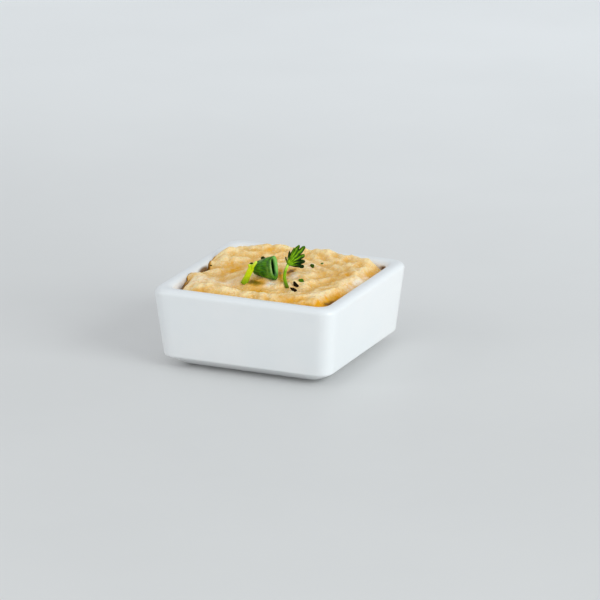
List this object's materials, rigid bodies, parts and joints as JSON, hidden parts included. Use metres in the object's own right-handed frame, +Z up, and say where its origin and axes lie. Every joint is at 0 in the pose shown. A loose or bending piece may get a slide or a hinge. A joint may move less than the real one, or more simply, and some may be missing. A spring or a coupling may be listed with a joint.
{
  "type": "hummus in a square dish",
  "caption": "Square tapered white dish on a small recessed foot, filled to its rim with spoon-swirled hummus and dressed with spring onion, a stalk, parsley and herb flakes.",
  "frame": {"origin": "middle of the underside of the dish's foot, on the table", "axes": "+Z up; the dish's sides face +X, -X, +Y and -Y; the garnish lies towards -Y"},
  "size_m": [0.09, 0.09, 0.0525],
  "materials": {
    "dish_glaze": "glossy white glaze",
    "hummus": "moist, grainy paste",
    "onion_green": "waxy, moist",
    "stalk_green": "waxy, moist",
    "parsley_green": "leafy, slightly glossy"
  },
  "bodies": {
    "root": {"dish": "dish_glaze", "hummus": "hummus", "spring_onion": "onion_green", "forked_stalk": "stalk_green", "parsley_sprig": "parsley_green"}
  },
  "joints": []
}
